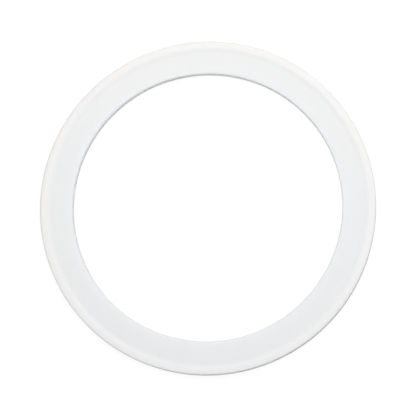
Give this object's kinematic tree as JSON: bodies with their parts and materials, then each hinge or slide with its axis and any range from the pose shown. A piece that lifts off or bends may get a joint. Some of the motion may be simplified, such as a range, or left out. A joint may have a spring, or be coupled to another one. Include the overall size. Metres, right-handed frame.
{
  "type": "sanitary clamp gasket",
  "caption": "Flat moulded silicone ring gasket with a wide bore, smooth seats on both faces and a low rounded bead round the outer edge, for a clamped hygienic tube union.",
  "frame": {"origin": "centre of the bore at half thickness", "axes": "+Z along the bore and square to both faces, +X and +Y in the plane of the ring; the ring is round, so their turn about +Z is free"},
  "size_m": [0.0908, 0.0908, 0.0028],
  "materials": {
    "silicone": "satin milky translucent silicone rubber"
  },
  "bodies": {
    "root": {"gasket": "silicone"}
  },
  "joints": []
}
